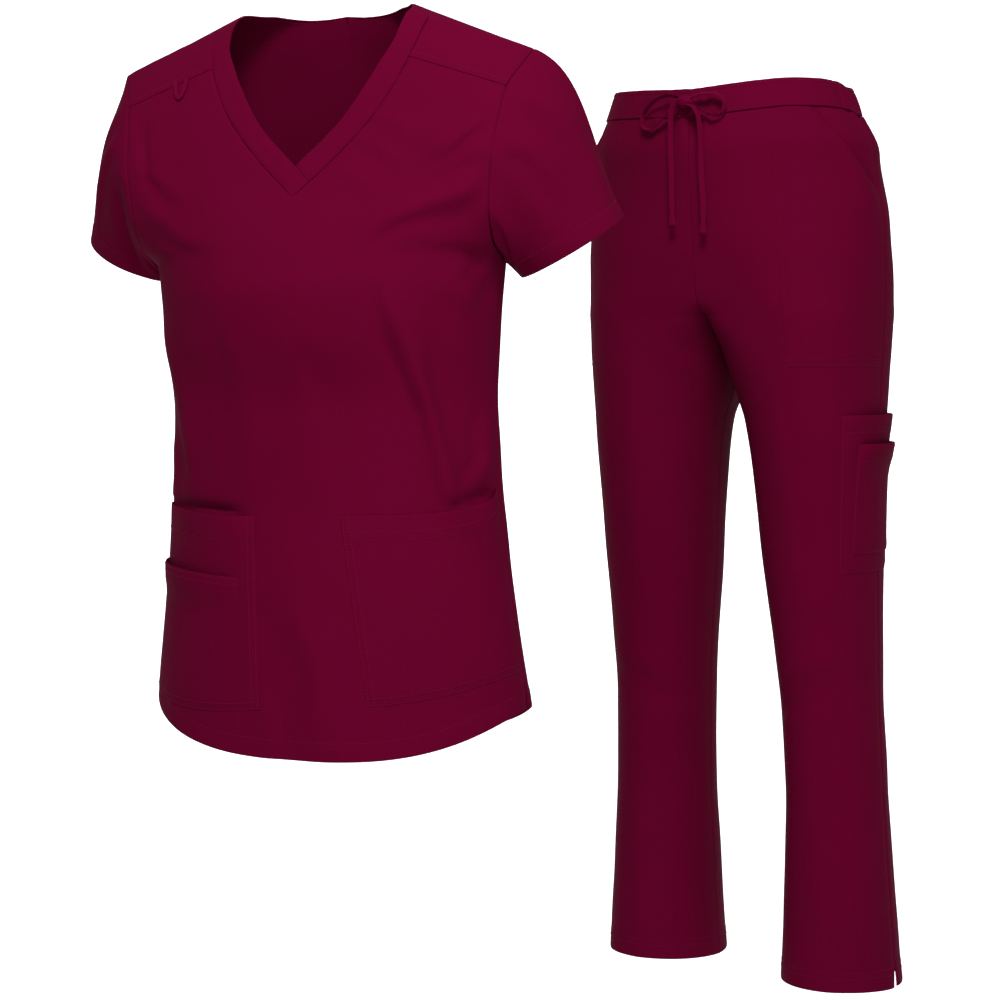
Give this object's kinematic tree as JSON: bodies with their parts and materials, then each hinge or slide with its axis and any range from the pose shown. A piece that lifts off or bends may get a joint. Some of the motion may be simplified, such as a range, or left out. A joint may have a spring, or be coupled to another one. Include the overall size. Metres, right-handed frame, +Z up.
{
  "type": "medical scrubs set",
  "caption": "Wine red medical scrubs: a short-sleeved V-neck top with hip pockets and full-length drawstring trousers with a cargo pocket, both hollow and open as when worn.",
  "frame": {"origin": "middle of the neck base of the top, between the shoulders, where the wearer's shoulders carry it", "axes": "+Z up, -Y towards the viewer's side that both garments face, +X to the viewer's right, where the trousers stand"},
  "size_m": [0.8442, 0.618, 1.0086],
  "materials": {
    "twill": "soft matt twill",
    "drawstring": "flat woven cord"
  },
  "bodies": {
    "root": {"top_front": "twill", "top_back": "twill", "top_yoke_left": "twill", "top_yoke_right": "twill", "neck_band_left": "twill", "neck_band_right": "twill", "sleeve_left": "twill", "sleeve_right": "twill", "top_pocket_left": "twill", "top_pocket_right": "twill", "top_pocket_right_slot": "twill", "badge_loop": "twill", "trouser_front_left": "twill", "trouser_front_right": "twill", "trouser_back_left": "twill", "trouser_back_right": "twill", "waistband_front": "twill", "waistband_back": "twill", "hip_pocket_left": "twill", "hip_pocket_right": "twill", "cargo_pocket": "twill", "cargo_pocket_small": "twill", "drawstring_knot": "drawstring", "drawstring_end_left": "drawstring", "drawstring_end_right": "drawstring", "drawstring_loop_left": "drawstring", "drawstring_loop_right": "drawstring"}
  },
  "joints": []
}
